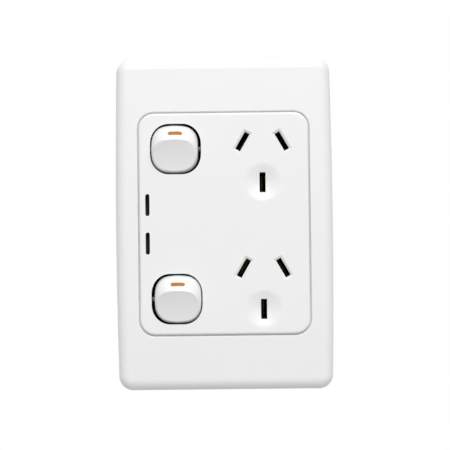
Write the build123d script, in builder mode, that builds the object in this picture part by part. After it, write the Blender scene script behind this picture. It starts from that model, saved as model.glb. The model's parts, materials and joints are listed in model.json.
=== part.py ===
"""Switched double socket: a two-gang wall outlet with a clip-on surround.

Millimetres. +X is right, +Z is up and the front faces -Y. The origin is the middle of the
plate on the wall plane, y = 0. A height here is measured out of the wall, towards the room,
so a height of 9 is y = -9 and the parts behind the wall have negative heights.
"""

import os
from math import cos, radians, sin, sqrt, tan

from build123d import *

# Panel: the raised front that the rest of the plate is laid out from
panel_width = 59.1
panel_height = 77.1
panel_corner = 5.3
panel_proud = 0.3
panel_edge_round = 0.8

# Surround: the clip-on cover frame round the panel
side_rail = 8.45
end_rail = 19.45
side_bow = 0.65
plate_corner = 5.0
plate_projection = 9.0
crown_rise = 1.0
edge_round = 4.0
surround_wall = 2.2
surround_skin = 2.7
window_edge_round = 0.45
tongue_width = 8.0
tongue_thickness = 1.4
tongue_tip_height = 0.6
tongue_side_inset = 12.0
tongue_end_inset = 4.0
tongue_fit = 0.15
cover_rib_count = 5
cover_rib_pitch = 11.0
cover_rib_width = 1.0
cover_rib_depth = 2.0
cover_rib_start = 4.0

# Face plate: shelf under the surround's lip, skirt and flange
groove_width = 0.45
groove_depth = 1.8
lip_overlap = 0.6
lip_fit = 0.05
shelf_fit = 0.25
shelf_thickness = 1.3
face_skin = 2.2
skirt_wall = 1.6
cavity_side_inset = 1.85
cavity_end_inset = 2.45
cavity_corner = 4.0
flange_side_gap = 1.15
flange_end_gap = 2.3
flange_corner = 4.0
flange_thickness = 2.4
gusset_width = 1.2
gusset_reach = 4.0
gusset_top = 5.6
gusset_pitch_x = 13.5
gusset_pitch_z = 22.0
wall_screw_pitch = 84.0
wall_screw_hole_radius = 2.1
wall_screw_pad_radius = 4.2
wall_screw_pad_rise = 0.6
finger_slot_inset = 2.85
finger_slot_pitch = 13.4
finger_slot_length = 7.7
finger_slot_width = 1.5

# Socket pattern: two flat live slots leaning together over an upright earth slot
socket_side_inset = 16.05
socket_end_inset = 16.5
socket_drop = 0.7
live_pitch = 13.72
live_to_earth = 14.27
live_slot_lean = 30.0
live_slot_length = 6.9
live_slot_width = 1.9
live_slot_lead_in = 0.7
earth_slot_length = 7.0
earth_slot_width = 2.1
dish_diameter = 12.7
dish_slope = 16.0
dish_depth = 1.45
dish_rim_round = 4.0

# Rockers: barrels turned about their pivots, with a pressed facet
switch_side_inset = 12.85
switch_end_inset = 12.45
rocker_side_play = {"upper": -0.3, "lower": 0.35}
pivot_depth = 2.6
rocker_throw = 44.0
barrel_radius = 8.45
barrel_half_width = 8.1
barrel_crown_radius = 20.0
barrel_corner = 5.6
facet_height = 6.23
facet_sag = 0.3
facet_crown_radius = 100.0
rocker_wall = 1.4
rocker_rear = 1.4
opening_gap = 0.72
opening_side_gap = 0.78
opening_crown_radius = 150.0
opening_corner = 6.5
opening_lip = 0.9
opening_relief_side = 0.1
opening_relief_end = 1.5
trunnion_radius = 1.0
trunnion_length = 2.0
trunnion_fit = 0.05
bearing_gap = 0.2
bearing_thickness = 1.6
bearing_half_length = 3.0
bearing_cover = 1.2
mark_angle = 38.0
mark_side_shift = {"upper": 0.35, "lower": 0.1}
mark_length = 4.9
mark_width = 1.5
mark_depth = 0.7
mark_fit = 0.03

# Plunger and spring inside each rocker
boss_radius = 2.9
boss_rear = 3.2
bore_depth = 4.2
plunger_radius = 1.9
plunger_fit = 0.06
plunger_top = 0.5
plunger_shoulder = 6.4
ball_radius = 1.2
ball_reach = 9.0
spring_mean_radius = 1.5
spring_wire = 0.4
spring_turns = 4.0

# See-saw contact under each plunger
seesaw_drop = 10.8
seesaw_throw = 16.0
seesaw_width = 5.4
seesaw_thickness = 0.8
seesaw_reach = 7.2
cradle_half_length = 3.9
plunger_to_cradle = 0.15
ear_radius = 0.8
ear_inner = 2.0
ear_outer = 3.9
ear_fit = 0.05
cheek_gap = 0.2
cheek_thickness = 0.8
cheek_half_width = 2.0
cheek_cover = 1.2
tip_radius = 1.5
tip_thickness = 0.9
tip_round = 0.4
tip_reach = 5.6
tip_gap = 0.1

# Bars and pin jaws, stamped from brass strip
bar_thickness = 1.0
bar_width = 4.4
active_bar_gap = 0.8
active_bar_width = 2.6
finger_width = 4.0
jaw_sheet = 0.7
jaw_width = 5.6
jaw_base = 3.2
jaw_pinch = 0.7
jaw_mouth = 3.0
jaw_pinch_height = -7.0
jaw_mouth_height = -5.0
strip_end_margin = 3.7

# Rear housing
housing_fit = 0.3
housing_wall = 1.5
housing_floor = 2.0
floor_height = -13.0
spigot_height = 2.5
spigot_from_switch = 12.1
housing_back_round = 0.8
screw_from_switch = 13.5
screw_side_inset = 3.3
screw_end_inset = 3.1
pillar_radius = 2.1
pillar_gap = 0.05
screw_shank_radius = 1.1
screw_hole_fit = 0.15
screw_pilot_fit = 0.03
screw_head_radius = 1.9
screw_head_height = 1.4
screw_head_fit = 0.2
screw_engagement = 5.0
well_fit = 0.35
well_wall = 1.0
well_top_gap = 0.3
latch_length = 9.0
latch_thickness = 2.0
latch_top_gap = 2.2
barrier_from_switch = 8.3
barrier_thickness = 2.0
barrier_length = 12.0
barrier_height = -1.5
ledge_width = 1.8
ledge_bottom = -10.5
ledge_top = -9.0
channel_fit = 0.3
drive_slot_width = 0.8
drive_slot_depth = 0.8

# Terminals behind the housing
block_width = 6.0
block_length = 9.0
block_depth = 8.2
block_seat = 0.05
tunnel_radius = 2.1
tunnel_front_wall = 1.3
tab_gap = 0.04
tab_width = 5.0
tab_reach = 5.0
tab_slot_fit = 0.2
tower_wall = 1.6
tower_rise = 1.0
fin_length = 13.0
back_field_depth = 0.4
back_field_side_inset = 3.6
back_field_end_inset = 7.6
back_field_gap = 3.2
back_field_corner = 1.5
pocket_fit = 0.2
terminal_screw_radius = 1.95
terminal_screw_fit = 0.05
terminal_screw_lift = 0.1
terminal_head_radius = 2.4
terminal_head_height = 1.6
terminal_head_lift = 0.6

# Heights worked out from the sizes above
panel_front = plate_projection + panel_proud
shelf_front = panel_front - groove_depth
shelf_back = shelf_front - shelf_thickness
face_back = panel_front - face_skin
surround_ceiling = plate_projection - surround_skin
pivot_height = panel_front - pivot_depth
seesaw_height = pivot_height - seesaw_drop
bar_top = floor_height + bar_thickness
housing_back = floor_height - housing_floor
half_throw = rocker_throw / 2
seesaw_half_throw = seesaw_throw / 2

# Plan sizes worked out from the sizes above
plate_width = panel_width + 2 * side_rail
plate_height = panel_height + 2 * end_rail
window_width = panel_width + 2 * groove_width
window_height = panel_height + 2 * groove_width
window_corner = panel_corner + groove_width
shelf_width = window_width + 2 * lip_overlap
shelf_height = window_height + 2 * lip_overlap
shelf_corner = window_corner + lip_overlap
cavity_width = panel_width - 2 * cavity_side_inset
cavity_height = panel_height - 2 * cavity_end_inset
flange_width = plate_width - 2 * (surround_wall + side_bow + flange_side_gap)
flange_height = plate_height - 2 * (surround_wall + flange_end_gap)
tongue_pitch_x = flange_width - 2 * tongue_side_inset
tongue_pitch_z = flange_height - 2 * tongue_end_inset
housing_width = cavity_width - 2 * housing_fit
housing_height = cavity_height - 2 * housing_fit
housing_corner = cavity_corner - housing_fit
housing_left_inside = housing_wall - housing_width / 2
finger_slot_x = finger_slot_inset - panel_width / 2
switch_x = switch_side_inset - panel_width / 2
socket_x = panel_width / 2 - socket_side_inset
active_bar_x = housing_left_inside + active_bar_gap + active_bar_width / 2
spigot_left = switch_x + spigot_from_switch
screw_left = switch_x + screw_from_switch
screw_right = cavity_width / 2 - screw_side_inset
screw_pattern_x = (screw_left + screw_right) / 2
screw_pitch_x = screw_right - screw_left
screw_pitch_z = cavity_height - 2 * screw_end_inset
switch_reach = panel_height / 2 - switch_end_inset
socket_reach = panel_height / 2 - socket_end_inset
switch_z = {"upper": switch_reach, "lower": -switch_reach}
socket_z = {"upper": socket_reach - socket_drop, "lower": -socket_reach - socket_drop}
rows = ("upper", "lower")

# The front view: sketches on it are drawn in X and Z and extruded out of the wall
FRONT = Plane(origin=(0, 0, 0), x_dir=(1, 0, 0), z_dir=(0, -1, 0))

os.makedirs("parts", exist_ok=True)


def save(builder, name):
    """Label one finished piece and write it."""
    builder.part.label = name
    export_step(builder.part, f"parts/{name}.step")


def tilted(x, height, z, angle):
    """The front view moved to a point and turned about +X by an angle in degrees."""
    turn = radians(angle)
    return Plane(origin=(x, -height, z), x_dir=(1, 0, 0), z_dir=(0, -cos(turn), -sin(turn)))


def side_of(front):
    """The section plane of a front view: its X is up, its Y is out of the wall."""
    return Plane(origin=front.origin, x_dir=front.y_dir, z_dir=front.x_dir)


def live_z(row):
    """Height on the plate of a socket's live slots."""
    return socket_z[row] + live_to_earth / 2


def earth_z(row):
    """Height on the plate of a socket's earth slot."""
    return socket_z[row] - live_to_earth / 2


def slot_places(row):
    """Each slot of a socket: its pole, its middle in the front view and its turn from +X."""
    lean = 90 - live_slot_lean
    return (
        ("active", (socket_x - live_pitch / 2, live_z(row)), lean),
        ("neutral", (socket_x + live_pitch / 2, live_z(row)), 180 - lean),
        ("earth", (socket_x, earth_z(row)), 90.0),
    )


def plate_outline(sketch, inset):
    """Front outline of the surround, its long sides bowed outwards, drawn in a sketch."""
    half_width = plate_width / 2 - inset
    half_height = plate_height / 2 - inset
    corner_x = half_width - side_bow
    with BuildLine() as edge:
        Line((-corner_x, half_height), (corner_x, half_height))
        ThreePointArc((corner_x, half_height), (half_width, 0), (corner_x, -half_height))
        Line((corner_x, -half_height), (-corner_x, -half_height))
        ThreePointArc((-corner_x, -half_height), (-half_width, 0), (-corner_x, half_height))
    make_face(edge.edges())
    fillet(sketch.vertices(), plate_corner - inset)


def turned_barrel(front, half_width, radius, crown_radius, corner, mode=Mode.ADD):
    """A barrel: a crowned half outline with round corners, turned about the pivot of a front view."""
    shoulder = radius - crown_radius + sqrt(crown_radius**2 - half_width**2)
    with BuildLine() as edges:
        ThreePointArc((-half_width, shoulder), (0, radius), (half_width, shoulder))
        Polyline((half_width, shoulder), (half_width, 0), (-half_width, 0), (-half_width, shoulder))
    with BuildSketch(front) as half_outline:
        make_face(edges.edges())
        fillet(half_outline.vertices().group_by(Axis.Y)[-1], corner)
    revolve(half_outline.sketch, axis=Axis(front.origin, front.x_dir), mode=mode)


def rocker_front(row):
    """Pivot frame of a rocker at rest, switched on, with the facet's normal as its Z."""
    return tilted(switch_x + rocker_side_play[row], pivot_height, switch_z[row], half_throw)


def seesaw_front(row):
    """Pivot frame of a see-saw contact at rest."""
    return tilted(switch_x, seesaw_height, switch_z[row], -seesaw_half_throw)


# Surround
with BuildPart() as surround:
    with BuildSketch(FRONT) as outer_outline:
        plate_outline(outer_outline, 0)
    extrude(amount=plate_projection)
    # The front is crowned by a wide cylinder along X
    crown_radius = ((plate_height / 2) ** 2 + crown_rise**2) / (2 * crown_rise)
    with BuildSketch(Plane.YZ):
        with Locations((crown_radius - plate_projection, 0)):
            Circle(crown_radius)
    extrude(amount=plate_width, both=True, mode=Mode.INTERSECT)
    fillet(surround.faces().sort_by(Axis.Y)[0].edges(), edge_round)
    with BuildSketch(FRONT) as inner_outline:
        plate_outline(inner_outline, surround_wall)
    extrude(amount=surround_ceiling, mode=Mode.SUBTRACT)
    with BuildSketch(FRONT):
        RectangleRounded(window_width, window_height, window_corner)
    extrude(amount=2 * plate_projection, mode=Mode.SUBTRACT)
    fillet(surround.faces().sort_by(Axis.Y)[0].inner_wires()[0].edges(), window_edge_round)
    with BuildSketch(FRONT):
        RectangleRounded(
            shelf_width + 2 * shelf_fit, shelf_height + 2 * shelf_fit, shelf_corner + shelf_fit
        )
    extrude(amount=shelf_front + lip_fit, mode=Mode.SUBTRACT)
    with BuildSketch(FRONT.offset(tongue_tip_height)):
        with GridLocations(tongue_pitch_x, tongue_pitch_z, 2, 2):
            Rectangle(tongue_width, tongue_thickness)
    extrude(amount=surround_ceiling - tongue_tip_height)
    # Ribs under the wide ends
    rib_start = shelf_height / 2 + cover_rib_start
    rib_length = plate_height / 2 - surround_wall - rib_start
    with BuildSketch(FRONT.offset(surround_ceiling)):
        with GridLocations(cover_rib_pitch, 2 * rib_start + rib_length, cover_rib_count, 2):
            Rectangle(cover_rib_width, rib_length)
    extrude(amount=-cover_rib_depth)
save(surround, "surround")

# Face plate
with BuildPart() as face_plate:
    with BuildSketch(FRONT):
        RectangleRounded(flange_width, flange_height, flange_corner)
    extrude(amount=flange_thickness)
    with BuildSketch(FRONT):
        with GridLocations(0, wall_screw_pitch, 1, 2):
            Circle(wall_screw_pad_radius)
    extrude(amount=flange_thickness + wall_screw_pad_rise)
    with BuildSketch(FRONT):
        skirt_width = cavity_width + 2 * skirt_wall
        skirt_height = cavity_height + 2 * skirt_wall
        RectangleRounded(skirt_width, skirt_height, cavity_corner + skirt_wall)
    extrude(amount=shelf_front)
    with BuildSketch(FRONT.offset(shelf_back)):
        RectangleRounded(shelf_width, shelf_height, shelf_corner)
    extrude(amount=shelf_thickness)
    with BuildSketch(FRONT.offset(shelf_front)):
        RectangleRounded(panel_width, panel_height, panel_corner)
    extrude(amount=groove_depth)
    fillet(face_plate.faces().sort_by(Axis.Y)[0].edges(), panel_edge_round)
    with BuildSketch(FRONT):
        RectangleRounded(cavity_width, cavity_height, cavity_corner)
    extrude(amount=face_back, mode=Mode.SUBTRACT)
    # Gussets between the skirt and the flange
    gusset_rise = gusset_top - flange_thickness
    for half_turn in (0, 180):
        for turn, face, pitch, count in (
            (half_turn, skirt_height / 2, gusset_pitch_x, 4),
            (half_turn + 90, skirt_width / 2, gusset_pitch_z, 3),
        ):
            out_way = Vector(0, 0, 1).rotate(Axis.Y, turn)
            across = Vector(1, 0, 0).rotate(Axis.Y, turn)
            root = out_way * face - Vector(0, flange_thickness, 0)
            section = Plane(origin=root, x_dir=out_way, z_dir=across)
            for step in range(count):
                shift = (step - (count - 1) / 2) * pitch - gusset_width / 2
                with BuildSketch(section.offset(shift)):
                    with BuildLine():
                        Polyline((0, 0), (gusset_reach, 0), (0, section.y_dir.Y * -gusset_rise), close=True)
                    make_face()
                extrude(amount=gusset_width)
    # Bosses that take the housing's screws
    with BuildSketch(FRONT.offset(pillar_gap)):
        with Locations((screw_pattern_x, 0)):
            with GridLocations(screw_pitch_x, screw_pitch_z, 2, 2):
                Circle(pillar_radius)
    extrude(amount=face_back - pillar_gap)
    with BuildSketch(FRONT.offset(pillar_gap)):
        with Locations((screw_pattern_x, 0)):
            with GridLocations(screw_pitch_x, screw_pitch_z, 2, 2):
                Circle(screw_shank_radius + screw_pilot_fit)
    extrude(amount=screw_engagement, mode=Mode.SUBTRACT)
    # Bearings beside each switch opening, then the openings themselves
    bearing_inner = barrel_half_width + opening_side_gap + bearing_gap
    bearing_rear = pivot_height - trunnion_radius - bearing_cover
    for row in rows:
        switch_front = tilted(switch_x, pivot_height, switch_z[row], 0)
        with BuildSketch(FRONT.offset(bearing_rear)):
            with Locations((switch_x, switch_z[row])):
                with GridLocations(2 * bearing_inner + bearing_thickness, 0, 2, 1):
                    Rectangle(bearing_thickness, 2 * bearing_half_length)
        extrude(amount=face_back - bearing_rear)
        with BuildSketch(side_of(switch_front)):
            Circle(trunnion_radius + trunnion_fit)
        extrude(amount=bearing_inner + bearing_thickness, both=True, mode=Mode.SUBTRACT)
        turned_barrel(
            switch_front,
            barrel_half_width + opening_side_gap,
            barrel_radius + opening_gap,
            opening_crown_radius,
            opening_corner,
            Mode.SUBTRACT,
        )
        # Behind, the opening widens to leave a thin lip
        reach = sqrt((barrel_radius + opening_gap) ** 2 - pivot_depth**2)
        with BuildSketch(FRONT.offset(face_back)):
            with Locations((switch_x, switch_z[row])):
                RectangleRounded(
                    2 * (barrel_half_width + opening_side_gap + opening_relief_side),
                    2 * (reach + opening_relief_end),
                    opening_corner,
                )
        extrude(amount=face_skin - opening_lip, mode=Mode.SUBTRACT)
    # Pin slots: a soft-rimmed cone round the earth, lead-ins on the live pair
    dish_rim = dish_diameter / 2
    dish_floor = dish_rim - dish_depth / tan(radians(dish_slope))
    for row in rows:
        with Locations(FRONT.offset(panel_front - dish_depth)):
            with Locations((socket_x, earth_z(row), dish_depth / 2)):
                Cone(dish_floor, dish_rim, dish_depth, mode=Mode.SUBTRACT)
    dish_rims = [
        edge
        for edge in face_plate.edges().filter_by(GeomType.CIRCLE)
        if abs(edge.radius - dish_rim) < dish_depth / 2 and edge.is_closed
    ]
    fillet(dish_rims, dish_rim_round)
    for row in rows:
        for pole, middle, turn in slot_places(row):
            length = earth_slot_length if pole == "earth" else live_slot_length
            width = earth_slot_width if pole == "earth" else live_slot_width
            with BuildSketch(FRONT.offset(panel_front)):
                with Locations(Location(middle, turn)):
                    Rectangle(length, width)
            extrude(amount=-face_skin, mode=Mode.SUBTRACT)
            if pole != "earth":
                spread = 2 * live_slot_lead_in
                with BuildSketch(FRONT.offset(panel_front)):
                    with Locations(Location(middle, turn)):
                        Rectangle(length + spread, width + spread)
                extrude(amount=-live_slot_lead_in, taper=45, mode=Mode.SUBTRACT)
    with BuildSketch(FRONT.offset(panel_front)):
        with Locations((finger_slot_x, 0)):
            with GridLocations(0, finger_slot_pitch, 1, 2):
                SlotOverall(finger_slot_length, finger_slot_width, rotation=90)
    extrude(amount=-face_skin, mode=Mode.SUBTRACT)
    # Wall screw holes, and slots for the surround's tongues
    with BuildSketch(FRONT):
        with GridLocations(0, wall_screw_pitch, 1, 2):
            Circle(wall_screw_hole_radius)
        with GridLocations(tongue_pitch_x, tongue_pitch_z, 2, 2):
            Rectangle(tongue_width + 2 * tongue_fit, tongue_thickness + 2 * tongue_fit)
    extrude(amount=flange_thickness + wall_screw_pad_rise, mode=Mode.SUBTRACT)
save(face_plate, "face_plate")

# Rockers, marks, plungers and springs
for row in rows:
    front = rocker_front(row)
    side = side_of(front)
    mark_x = front.origin.X + mark_side_shift[row]
    mark_front = tilted(mark_x, pivot_height, switch_z[row], -mark_angle)
    mark_floor = mark_front.offset(barrel_radius - mark_depth)
    full_size = 2 * barrel_radius
    skin_inside = facet_height - facet_sag - rocker_wall

    with BuildPart() as rocker_hollow:
        turned_barrel(
            front,
            barrel_half_width - rocker_wall,
            barrel_radius - rocker_wall,
            barrel_crown_radius - rocker_wall,
            barrel_corner - rocker_wall,
        )
        with BuildSketch(front.offset(skin_inside)):
            Rectangle(full_size, full_size)
        extrude(amount=full_size, mode=Mode.SUBTRACT)

    with BuildPart() as rocker:
        turned_barrel(front, barrel_half_width, barrel_radius, barrel_crown_radius, barrel_corner)
        with BuildSketch(front.offset(-rocker_rear)):
            Rectangle(2 * full_size, 2 * full_size)
        extrude(amount=-full_size, mode=Mode.SUBTRACT)
        # The facet is a saddle: scooped along the barrel and crowned across it
        chord = sqrt(barrel_radius**2 - facet_height**2)
        scoop_radius = (chord**2 + facet_sag**2) / (2 * facet_sag)
        crown_axis = front.offset(facet_height - facet_sag - facet_crown_radius)
        with Locations(Plane(origin=crown_axis.origin, x_dir=front.x_dir, z_dir=front.y_dir)):
            Torus(facet_crown_radius + scoop_radius, scoop_radius, mode=Mode.SUBTRACT)
        add(rocker_hollow.part, mode=Mode.SUBTRACT)
        with BuildSketch(front.offset(-boss_rear)):
            Circle(boss_radius)
        extrude(amount=boss_rear + skin_inside)
        with BuildSketch(front.offset(-boss_rear)):
            Circle(plunger_radius + plunger_fit)
        extrude(amount=boss_rear + bore_depth, mode=Mode.SUBTRACT)
        # Trunnions stand on the side walls
        for direction in (-1, 1):
            wall_inside = direction * (barrel_half_width - rocker_wall)
            with BuildSketch(side.offset(wall_inside)):
                Circle(trunnion_radius)
            extrude(amount=direction * (rocker_wall + trunnion_length))
        with BuildSketch(mark_floor):
            SlotOverall(mark_length + 2 * mark_fit, mark_width + 2 * mark_fit)
        extrude(amount=barrel_radius, mode=Mode.SUBTRACT)
    save(rocker, f"{row}_rocker")

    with BuildPart() as rocker_mark:
        turned_barrel(front, barrel_half_width, barrel_radius, barrel_crown_radius, barrel_corner)
        with BuildSketch(mark_floor):
            SlotOverall(mark_length, mark_width)
        extrude(amount=barrel_radius, mode=Mode.INTERSECT)
    save(rocker_mark, f"{row}_rocker_mark")

    with BuildPart() as plunger:
        with BuildSketch(side):
            with BuildLine():
                ball_side = ball_radius * sqrt(0.5)
                Polyline(
                    (0, -ball_reach - ball_radius),
                    (0, -plunger_top),
                    (plunger_radius, -plunger_top),
                    (plunger_radius, -plunger_shoulder),
                    (ball_radius, -ball_reach),
                )
                ThreePointArc(
                    (ball_radius, -ball_reach),
                    (ball_side, -ball_reach - ball_side),
                    (0, -ball_reach - ball_radius),
                )
            make_face()
        revolve(axis=Axis(front.origin, front.z_dir))
    save(plunger, f"{row}_plunger")

    spring_foot = front.offset(-plunger_top + spring_wire / 2 + plunger_fit)
    spring_height = bore_depth + plunger_top - spring_wire - 2 * plunger_fit
    with BuildPart() as spring:
        with BuildLine() as coil:
            Helix(
                spring_height / spring_turns,
                spring_height,
                spring_mean_radius,
                center=spring_foot.origin,
                direction=spring_foot.z_dir,
            )
        with BuildSketch(Plane(origin=coil.line @ 0, z_dir=coil.line % 0)):
            Circle(spring_wire / 2)
        sweep(is_frenet=True)
    save(spring, f"{row}_spring")

# See-saw contacts: a cradle for the plunger's ball between two flat wings
turn = radians(half_throw)
swing = radians(seesaw_half_throw)
ball_out = ball_reach * cos(turn) - seesaw_drop
ball_up = ball_reach * sin(turn)
path_mid = seesaw_drop - ball_reach
path_end_out = -(ball_out * cos(swing) - ball_up * sin(swing))
path_end_up = ball_out * sin(swing) + ball_up * cos(swing)
path_sag = path_end_out - path_mid
path_radius = (path_end_up**2 + path_sag**2) / (2 * path_sag)
cradle_centre = path_mid + path_radius
cradle_radius = path_radius + ball_radius + plunger_to_cradle
wing_height = cradle_centre - sqrt(cradle_radius**2 - cradle_half_length**2)
back_radius = cradle_radius + seesaw_thickness
wing_back = wing_height - seesaw_thickness
back_half_length = sqrt(back_radius**2 - (cradle_centre - wing_back) ** 2)
for row in rows:
    front = seesaw_front(row)
    side = side_of(front)
    with BuildPart() as moving_contact:
        with BuildSketch(side):
            with BuildLine():
                Line((-seesaw_reach, wing_height), (-cradle_half_length, wing_height))
                ThreePointArc(
                    (-cradle_half_length, wing_height),
                    (0, cradle_centre - cradle_radius),
                    (cradle_half_length, wing_height),
                )
                Polyline(
                    (cradle_half_length, wing_height),
                    (seesaw_reach, wing_height),
                    (seesaw_reach, wing_back),
                    (back_half_length, wing_back),
                )
                ThreePointArc(
                    (back_half_length, wing_back),
                    (0, cradle_centre - back_radius),
                    (-back_half_length, wing_back),
                )
                Polyline(
                    (-back_half_length, wing_back),
                    (-seesaw_reach, wing_back),
                    (-seesaw_reach, wing_height),
                )
            make_face()
        extrude(amount=seesaw_width / 2, both=True)
        for direction in (-1, 1):
            with BuildSketch(side.offset(direction * ear_inner)):
                Circle(ear_radius)
            extrude(amount=direction * (ear_outer - ear_inner))
    save(moving_contact, f"{row}_moving_contact")

    with BuildPart() as moving_tip:
        with BuildSketch(front.offset(wing_back)):
            with Locations((0, tip_reach)):
                Circle(tip_radius)
        extrude(amount=-tip_thickness)
        fillet(moving_tip.edges().sort_by(Axis(front.origin, front.z_dir))[0], tip_round)
    save(moving_tip, f"{row}_moving_tip")

# The fixed tips wait just behind the moving ones
tip_face = wing_back - tip_thickness
tip_edge = tip_reach + tip_radius
fixed_tip_front = seesaw_height + tip_face * cos(swing) - tip_edge * sin(swing) - tip_gap
fixed_tip_shift = tip_reach * cos(swing) + tip_face * sin(swing)
finger_top = fixed_tip_front - tip_thickness
with BuildPart() as fixed_tips:
    with BuildSketch(FRONT.offset(finger_top)):
        for row in rows:
            with Locations((switch_x, switch_z[row] + fixed_tip_shift)):
                Circle(tip_radius)
    extrude(amount=tip_thickness)
save(fixed_tips, "fixed_tips")


def jaw(middle, turn):
    """A flared pin jaw folded from sheet, standing on a bar, its width along the slot."""
    along = radians(turn)
    section = Plane(
        origin=(middle[0], 0, middle[1]),
        x_dir=(-sin(along), 0, cos(along)),
        z_dir=(cos(along), 0, sin(along)),
    )
    base = bar_top + jaw_sheet / 2
    with BuildSketch(section) as fold:
        with BuildLine():
            Polyline(
                (-jaw_mouth / 2, jaw_mouth_height),
                (-jaw_pinch / 2 - jaw_sheet / 2, jaw_pinch_height),
                (-jaw_base / 2, base),
                (jaw_base / 2, base),
                (jaw_pinch / 2 + jaw_sheet / 2, jaw_pinch_height),
                (jaw_mouth / 2, jaw_mouth_height),
            )
        trace(line_width=jaw_sheet)
    extrude(fold.sketch, amount=jaw_width / 2, both=True)


def upright_strip(x, bottom, top, width):
    """A plain bar outline along Z in the front view."""
    with Locations((x, (bottom + top) / 2)):
        Rectangle(width, top - bottom)


def neutral_strip(margin):
    """Outline of the neutral bar, widened by a margin."""
    upright_strip(
        socket_x + live_pitch / 2,
        live_z("lower") - strip_end_margin - margin,
        live_z("upper") + strip_end_margin + margin,
        bar_width + 2 * margin,
    )


def earth_strip(margin):
    """Outline of the earth bar, widened by a margin."""
    upright_strip(
        socket_x,
        earth_z("lower") - strip_end_margin - margin,
        earth_z("upper") + strip_end_margin + margin,
        bar_width + 2 * margin,
    )


def active_strip(margin):
    """Outline of the active bar, widened by a margin."""
    upright_strip(
        active_bar_x,
        switch_z["lower"] + fixed_tip_shift - finger_width / 2 - margin,
        switch_z["upper"] + fixed_tip_shift + finger_width / 2 + margin,
        active_bar_width + 2 * margin,
    )


cheek_inner = seesaw_width / 2 + cheek_gap
cheek_outer = cheek_inner + cheek_thickness


def switched_strip(row, margin):
    """Outline of the strip from a see-saw's cheeks to its active jaw, widened by a margin."""
    jaw_x = socket_x - live_pitch / 2
    rise = live_z(row) - switch_z[row]
    with BuildLine() as route:
        Polyline(
            (switch_x - cheek_outer - margin, switch_z[row]),
            (jaw_x - abs(rise), switch_z[row]),
            (jaw_x, live_z(row)),
            (jaw_x + bar_width / 2 + margin, live_z(row) + bar_width / 2 + margin),
        )
    trace(route.edges(), line_width=bar_width + 2 * margin)


# Where each bar's tab leaves it, and the side on which its terminal stands
half_bar = bar_width / 2
tab_right = {
    "active": active_bar_x + active_bar_width / 2,
    "earth": socket_x - half_bar + bar_thickness,
    "neutral": socket_x + live_pitch / 2 + half_bar,
}
terminal_side = {"active": 1, "earth": -1, "neutral": -1}


def tab(pole):
    """The folded tail of a bar, through the housing's floor to its terminal."""
    with BuildSketch(FRONT.offset(bar_top)) as tail:
        with Locations((tab_right[pole] - bar_thickness / 2, 0)):
            Rectangle(bar_thickness, tab_width)
    extrude(tail.sketch, amount=-(bar_thickness + housing_floor + tab_reach))


def block_x(pole):
    """Middle of a terminal block, beside its tab."""
    tab_middle = tab_right[pole] - bar_thickness / 2
    return tab_middle + terminal_side[pole] * (bar_thickness / 2 + tab_gap + block_width / 2)


with BuildPart() as neutral_bar:
    with BuildSketch(FRONT.offset(floor_height)):
        neutral_strip(0)
    extrude(amount=bar_thickness)
    for row in rows:
        jaw(*slot_places(row)[1][1:])
    tab("neutral")
save(neutral_bar, "neutral_bar")

with BuildPart() as earth_bar:
    with BuildSketch(FRONT.offset(floor_height)):
        earth_strip(0)
    extrude(amount=bar_thickness)
    for row in rows:
        jaw(*slot_places(row)[2][1:])
    tab("earth")
save(earth_bar, "earth_bar")

# The active bar turns up at its ends into fingers under the moving tips
with BuildPart() as active_bar:
    with BuildSketch(FRONT.offset(floor_height)):
        active_strip(0)
    extrude(amount=bar_thickness)
    finger_left = active_bar_x + active_bar_width / 2 - bar_thickness
    finger_right = switch_x + tip_radius + bar_thickness
    for row in rows:
        finger_z = switch_z[row] + fixed_tip_shift
        with BuildSketch(FRONT.offset(floor_height)):
            with Locations((finger_left + bar_thickness / 2, finger_z)):
                Rectangle(bar_thickness, finger_width)
        extrude(amount=finger_top - floor_height)
        with BuildSketch(FRONT.offset(finger_top)):
            with Locations(((finger_left + finger_right) / 2, finger_z)):
                Rectangle(finger_right - finger_left, finger_width)
        extrude(amount=-bar_thickness)
    tab("active")
save(active_bar, "active_bar")

# Switched contacts: jaw, strip and the two cheeks that carry a see-saw
for row in rows:
    with BuildPart() as active_contact:
        with BuildSketch(FRONT.offset(floor_height)):
            switched_strip(row, 0)
        extrude(amount=bar_thickness)
        jaw(*slot_places(row)[0][1:])
        cheek_top = seesaw_height + ear_radius + cheek_cover
        with BuildSketch(FRONT.offset(floor_height)):
            with Locations((switch_x, switch_z[row])):
                with GridLocations(2 * cheek_inner + cheek_thickness, 0, 2, 1):
                    Rectangle(cheek_thickness, 2 * cheek_half_width)
        extrude(amount=cheek_top - floor_height)
        with BuildSketch(side_of(tilted(switch_x, seesaw_height, switch_z[row], 0))):
            Circle(ear_radius + ear_fit)
        extrude(amount=cheek_outer, both=True, mode=Mode.SUBTRACT)
    save(active_contact, f"{row}_active_contact")

# Terminals: bored blocks, their screws drawn back clear of the tunnel
block_front = housing_back - block_seat
block_back = block_front - block_depth
tunnel_height = block_front - tunnel_front_wall - tunnel_radius
poles = ("active", "neutral", "earth")
for pole in poles:
    with BuildPart() as terminal:
        with BuildSketch(FRONT.offset(block_front)):
            with Locations((block_x(pole), 0)):
                Rectangle(block_width, block_length)
        extrude(amount=-block_depth)
        with BuildSketch(Plane.XY):
            with Locations((block_x(pole), -tunnel_height)):
                Circle(tunnel_radius)
        extrude(amount=block_length, both=True, mode=Mode.SUBTRACT)
        with BuildSketch(FRONT.offset(tunnel_height)):
            with Locations((block_x(pole), 0)):
                Circle(terminal_screw_radius + terminal_screw_fit)
        extrude(amount=-block_depth, mode=Mode.SUBTRACT)
    save(terminal, f"{pole}_terminal")

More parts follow.
